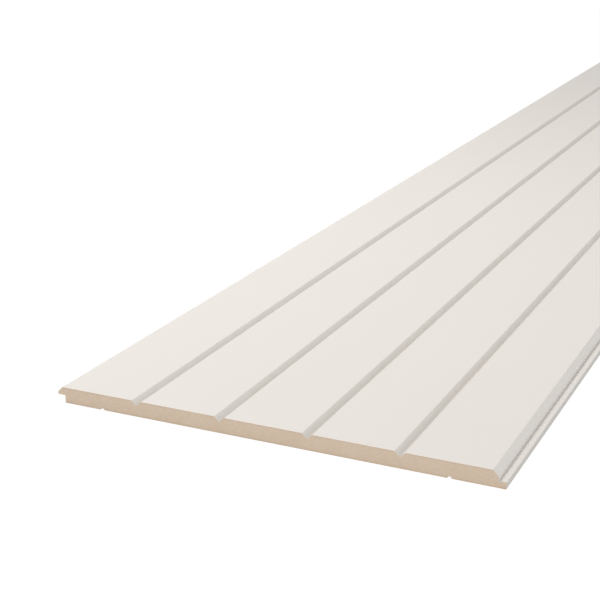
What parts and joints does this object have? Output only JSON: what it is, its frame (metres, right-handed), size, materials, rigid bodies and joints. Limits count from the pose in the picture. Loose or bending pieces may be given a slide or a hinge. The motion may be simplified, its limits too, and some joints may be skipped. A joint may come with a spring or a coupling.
{
  "type": "slat wall panel",
  "caption": "Long flat wall panel of painted MDF: V-grooves part its face into slats, and a lapped lip on one long edge covers the tongue on the next panel.",
  "frame": {"origin": "middle of the panel's length and width, on its flat back", "axes": "+Y along the panel, +X across it towards the tongue, +Z from the back out through the painted face"},
  "size_m": [0.2846, 2.39, 0.01],
  "materials": {
    "painted_mdf": "satin"
  },
  "bodies": {
    "root": {"slat_panel": "painted_mdf"}
  },
  "joints": []
}
